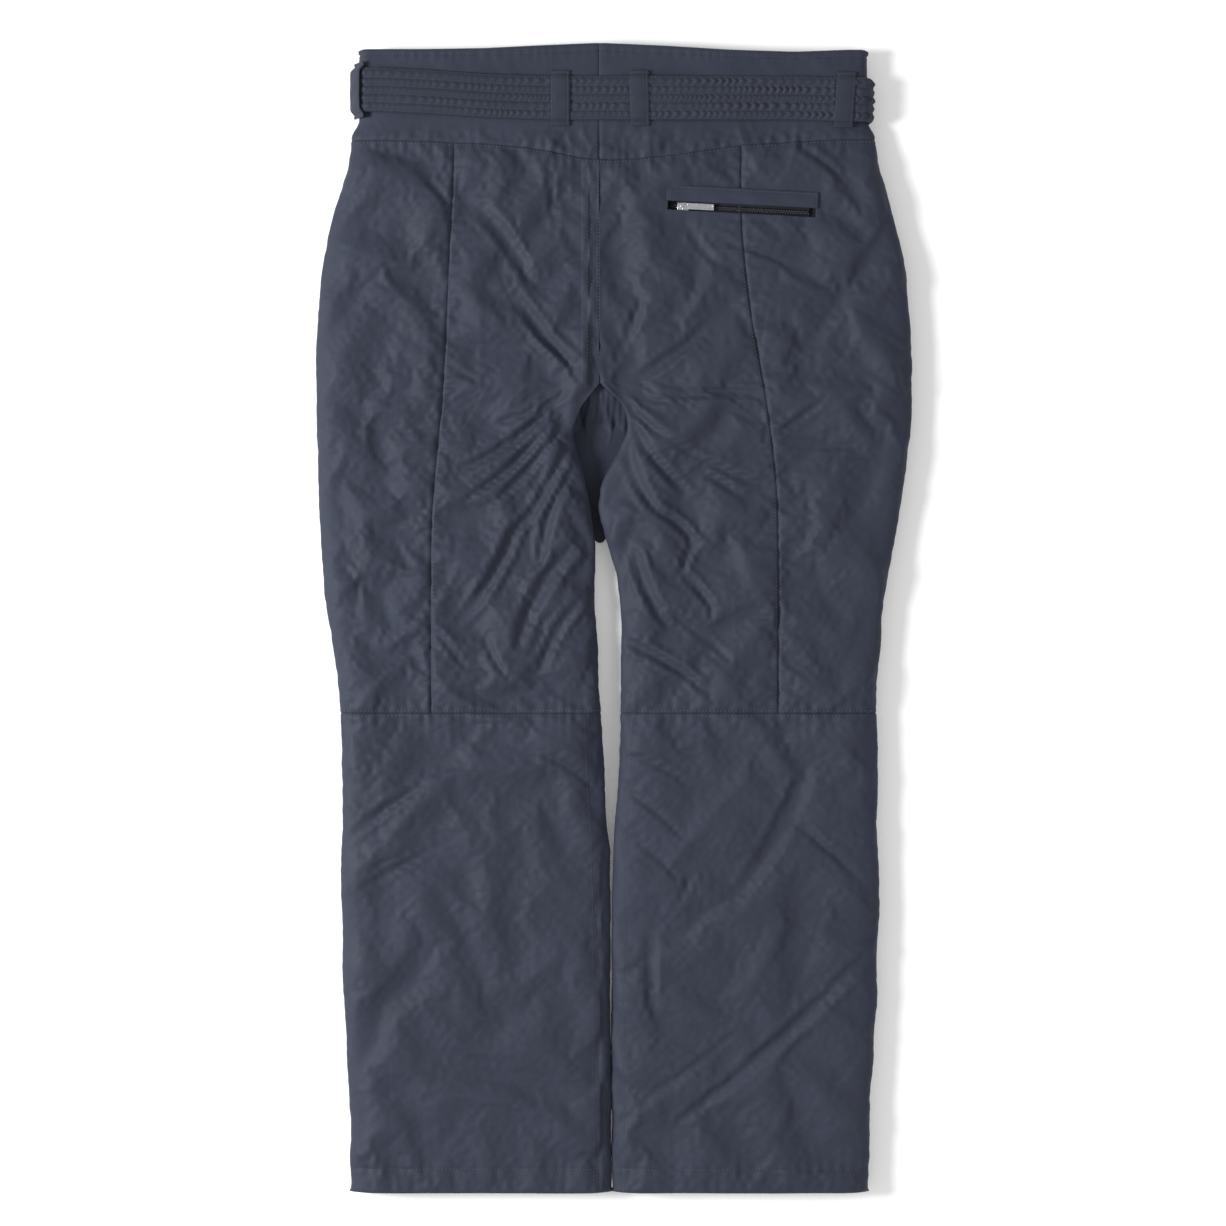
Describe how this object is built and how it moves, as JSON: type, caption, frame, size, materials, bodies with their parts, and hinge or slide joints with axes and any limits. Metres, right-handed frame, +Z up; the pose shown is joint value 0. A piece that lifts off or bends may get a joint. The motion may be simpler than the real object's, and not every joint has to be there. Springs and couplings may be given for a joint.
{
  "type": "ski pants",
  "caption": "Insulated ski pants lying flat on their front: padded shell panels, self-fabric belt through loops, zipped back pocket, snow gaiters.",
  "frame": {"origin": "middle of the footprint, on the surface that the pants lie on", "axes": "+Y from the hems to the waist, +X towards the wearer's right, +Z up out of the back of the pants"},
  "size_m": [0.5242, 1.009, 0.0262],
  "materials": {
    "shell": "dark slate-blue woven nylon, padded, soft semi-matt sheen",
    "belt": "the shell cloth folded and topstitched in rows",
    "lining": "smooth thin taffeta",
    "elastic": "ribbed knitted elastic",
    "pocket_bag": "plain brushed cloth",
    "zip_tape": "woven tape with a moulded coil",
    "zip_metal": "bright plated die-cast metal",
    "snap_metal": "satin steel",
    "buckle_plastic": "fine-textured moulded acetal"
  },
  "bodies": {
    "root": {"yoke_left": "shell", "back_left": "shell", "side_left": "shell", "front_left": "shell", "waistband_back_left": "shell", "waistband_front_left": "shell", "lining_back_left": "lining", "lining_front_left": "lining", "loop_back_left": "belt", "loop_side_left": "belt", "loop_front_left": "belt", "belt_front_left": "belt", "hand_pocket_left_zip": "zip_tape", "hand_pocket_left_bag": "pocket_bag", "yoke_right": "shell", "back_right": "shell", "side_right": "shell", "front_right": "shell", "waistband_back_right": "shell", "waistband_front_right": "shell", "lining_back_right": "lining", "lining_front_right": "lining", "loop_back_right": "belt", "loop_side_right": "belt", "loop_front_right": "belt", "hand_pocket_right_zip": "zip_tape", "hand_pocket_right_bag": "pocket_bag", "crotch_gusset": "shell", "belt_back": "belt", "buckle_socket": "buckle_plastic", "snap_cap_1": "snap_metal", "snap_cap_2": "snap_metal", "snap_stud_1": "snap_metal", "snap_stud_2": "snap_metal", "back_pocket_zip": "zip_tape", "back_pocket_welt": "shell", "back_pocket_bag": "pocket_bag", "fly_zip": "zip_tape", "fly_guard": "shell"},
    "shin_left": {"lower_back_left": "shell", "lower_front_left": "shell", "lining_lower_left": "lining", "gaiter_left": "lining", "gaiter_elastic_left": "elastic"},
    "shin_right": {"lower_back_right": "shell", "lower_front_right": "shell", "lining_lower_right": "lining", "gaiter_right": "lining", "gaiter_elastic_right": "elastic"},
    "back_pocket_slider": {"back_pocket_slider": "zip_metal"},
    "back_pocket_pull": {"back_pocket_pull": "zip_metal"},
    "hand_pocket_left_slider": {"hand_pocket_left_slider": "zip_metal"},
    "hand_pocket_left_pull": {"hand_pocket_left_pull": "zip_metal"},
    "hand_pocket_right_slider": {"hand_pocket_right_slider": "zip_metal"},
    "hand_pocket_right_pull": {"hand_pocket_right_pull": "zip_metal"},
    "fly_slider": {"fly_slider": "zip_metal"},
    "fly_pull": {"fly_pull": "zip_metal"},
    "belt_clasp": {"buckle_tongue": "buckle_plastic", "belt_front_right": "belt"},
    "buckle_button": {"buckle_button": "zip_metal"}
  },
  "joints": [
    {"name": "knee_fold_left", "type": "hinge", "parent": "root", "child": "shin_left", "pos_m": [-0.125, -0.084, 0.0265], "axis": [-1, 0, 0], "range_deg": [0, 170]},
    {"name": "knee_fold_right", "type": "hinge", "parent": "root", "child": "shin_right", "pos_m": [0.118, -0.084, 0.0265], "axis": [-1, 0, 0], "range_deg": [0, 170]},
    {"name": "back_pocket_zip_slide", "type": "slide", "parent": "root", "child": "back_pocket_slider", "axis": [0.9986, -0.0523, 0], "range_m": [0, 0.088]},
    {"name": "back_pocket_pull_swing", "type": "hinge", "parent": "back_pocket_slider", "child": "back_pocket_pull", "pos_m": [0.06098, 0.36087, 0.0239], "axis": [-0.0523, -0.9986, 0], "range_deg": [0, 150]},
    {"name": "hand_pocket_left_zip_slide", "type": "slide", "parent": "root", "child": "hand_pocket_left_slider", "axis": [-0.4695, -0.8829, 0], "range_m": [0, 0.112]},
    {"name": "hand_pocket_left_pull_swing", "type": "hinge", "parent": "hand_pocket_left_slider", "child": "hand_pocket_left_pull", "pos_m": [-0.11855, 0.37716, 0.0021], "axis": [0.8829, -0.4695, 0], "range_deg": [0, 150]},
    {"name": "hand_pocket_right_zip_slide", "type": "slide", "parent": "root", "child": "hand_pocket_right_slider", "axis": [0.4695, -0.8829, 0], "range_m": [0, 0.112]},
    {"name": "hand_pocket_right_pull_swing", "type": "hinge", "parent": "hand_pocket_right_slider", "child": "hand_pocket_right_pull", "pos_m": [0.11855, 0.37716, 0.0021], "axis": [0.8829, 0.4695, 0], "range_deg": [0, 150]},
    {"name": "fly_zip_slide", "type": "slide", "parent": "root", "child": "fly_slider", "axis": [0, -1, 0], "range_m": [0, 0.114]},
    {"name": "fly_pull_swing", "type": "hinge", "parent": "fly_slider", "child": "fly_pull", "pos_m": [0.003, 0.384, 0.0021], "axis": [1, 0, 0], "range_deg": [0, 150]},
    {"name": "buckle_release", "type": "slide", "parent": "root", "child": "belt_clasp", "axis": [1, 0, 0], "range_m": [0, 0.034]},
    {"name": "buckle_button_press", "type": "slide", "parent": "root", "child": "buckle_button", "axis": [0, 0, 1], "range_m": [0, 0.0012], "stiffness_N_per_m": 400}
  ]
}
